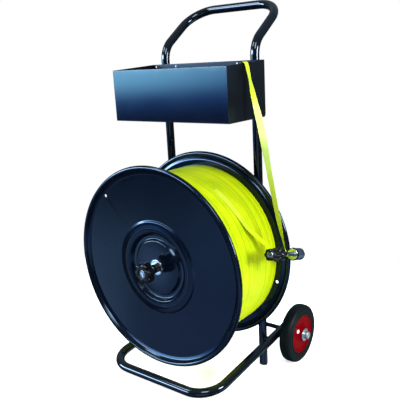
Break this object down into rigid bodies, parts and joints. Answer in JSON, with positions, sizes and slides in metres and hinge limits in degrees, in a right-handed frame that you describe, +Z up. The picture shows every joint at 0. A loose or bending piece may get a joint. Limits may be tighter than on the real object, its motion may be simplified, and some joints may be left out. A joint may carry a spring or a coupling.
{
  "type": "strapping dispenser cart",
  "caption": "Two-wheeled tube-frame cart that carries a reel of plastic strapping between pressed discs, with a strap guide, a clamp knob and an open tool box.",
  "frame": {"origin": "on the floor, under the centre of the bounding box of everything but the free strap", "axes": "+Z up, -Y towards the front reel disc and crossbar, +X towards the strap guide; the uprights lean forward by 8.02 degrees about X"},
  "size_m": [0.5387, 0.5078, 0.9644],
  "materials": {
    "black_enamel": "gloss powder coat",
    "disc_enamel": "gloss powder coat on pressed sheet",
    "box_enamel": "semi-gloss powder coat",
    "red_enamel": "gloss enamel",
    "zinc_steel": "zinc plated",
    "chrome_steel": "polished",
    "black_plastic": "moulded phenolic",
    "foot_plastic": "moulded",
    "nylon": "moulded",
    "rubber_tyre": "solid rubber",
    "strap_plastic": "polypropylene strapping",
    "brass": "turned",
    "guide_steel": "turned and blued"
  },
  "bodies": {
    "frame": {"main_frame": "black_enamel", "foot_plugs": "foot_plastic", "base_frame": "black_enamel", "base_end_plugs": "foot_plastic", "spindle_plate": "black_enamel", "weld_beads": "black_enamel", "spindle": "zinc_steel", "thrust_washer": "nylon", "retaining_ring": "zinc_steel", "tool_box_tray": "box_enamel", "tool_box_back": "box_enamel", "tool_box_end_left": "box_enamel", "tool_box_end_right": "box_enamel", "box_bolts": "zinc_steel", "box_nuts": "zinc_steel", "axle": "black_enamel", "axle_washers": "chrome_steel", "axle_caps": "chrome_steel", "guide_arm": "black_enamel", "guide_spool": "guide_steel", "guide_rod": "zinc_steel", "guide_nut": "zinc_steel", "strap": "strap_plastic"},
    "reel": {"reel_hub": "black_enamel", "hub_bushes": "nylon", "hub_stud": "zinc_steel", "rear_disc": "disc_enamel", "core_drum": "black_enamel", "strapping_coil": "strap_plastic"},
    "front_disc": {"front_disc": "disc_enamel", "knob_washer": "chrome_steel"},
    "reel_knob": {"reel_knob": "black_plastic", "knob_insert": "brass"},
    "wheel_left": {"tyre_left": "rubber_tyre", "rim_left": "red_enamel", "wheel_bushes_left": "nylon"},
    "wheel_right": {"tyre_right": "rubber_tyre", "rim_right": "red_enamel", "wheel_bushes_right": "nylon"},
    "guide_knob": {"guide_knob": "black_plastic", "guide_knob_insert": "chrome_steel"}
  },
  "joints": [
    {"name": "reel_spin", "type": "hinge", "parent": "frame", "child": "reel", "pos_m": [-0.01725, -0.10174, 0.3095], "axis": [0, -0.9902, -0.1396], "continuous": true},
    {"name": "front_disc_slide", "type": "slide", "parent": "reel", "child": "front_disc", "axis": [0, -0.9902, -0.1396], "range_m": [0, 0.25]},
    {"name": "reel_knob_turn", "type": "hinge", "parent": "front_disc", "child": "reel_knob", "pos_m": [-0.01725, -0.22551, 0.29205], "axis": [0, -0.9902, -0.1396], "continuous": true},
    {"name": "wheel_left_spin", "type": "hinge", "parent": "frame", "child": "wheel_left", "pos_m": [-0.21125, 0.17448, 0.07945], "axis": [1, 0, 0], "continuous": true},
    {"name": "wheel_right_spin", "type": "hinge", "parent": "frame", "child": "wheel_right", "pos_m": [0.17675, 0.17448, 0.07945], "axis": [1, 0, 0], "continuous": true},
    {"name": "guide_knob_turn", "type": "hinge", "parent": "frame", "child": "guide_knob", "pos_m": [0.24975, -0.07739, 0.35289], "axis": [0, -0.9888, 0.1491], "continuous": true}
  ]
}
